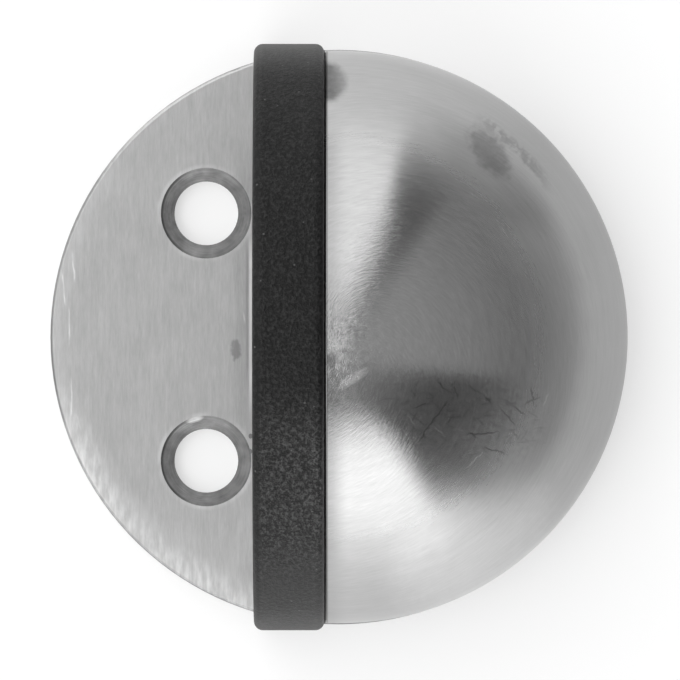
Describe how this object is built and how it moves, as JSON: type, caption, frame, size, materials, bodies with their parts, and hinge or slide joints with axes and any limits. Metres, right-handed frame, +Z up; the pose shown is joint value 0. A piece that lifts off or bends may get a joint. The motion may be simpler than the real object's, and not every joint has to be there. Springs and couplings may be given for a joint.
{
  "type": "floor door stop",
  "caption": "Half-dome floor door stop: round steel plate with countersunk screw holes, upright black rubber buffer and a hollow satin steel half dome behind it.",
  "frame": {"origin": "centre of the plate's underside, on the floor", "axes": "+Z up from the floor; +X from the screw plate towards the dome, so the door comes from -X; +Y along the buffer"},
  "size_m": [0.0452, 0.0458, 0.0249],
  "materials": {
    "plate_steel": "straight brushed, along the buffer",
    "dome_steel": "satin, brushed round the dome's axis, with scuffs",
    "rubber": "fine moulded grain",
    "screw_steel": "plated"
  },
  "bodies": {
    "root": {"base_plate": "plate_steel", "half_dome": "dome_steel", "rubber_buffer": "rubber", "dome_screws": "screw_steel"}
  },
  "joints": []
}
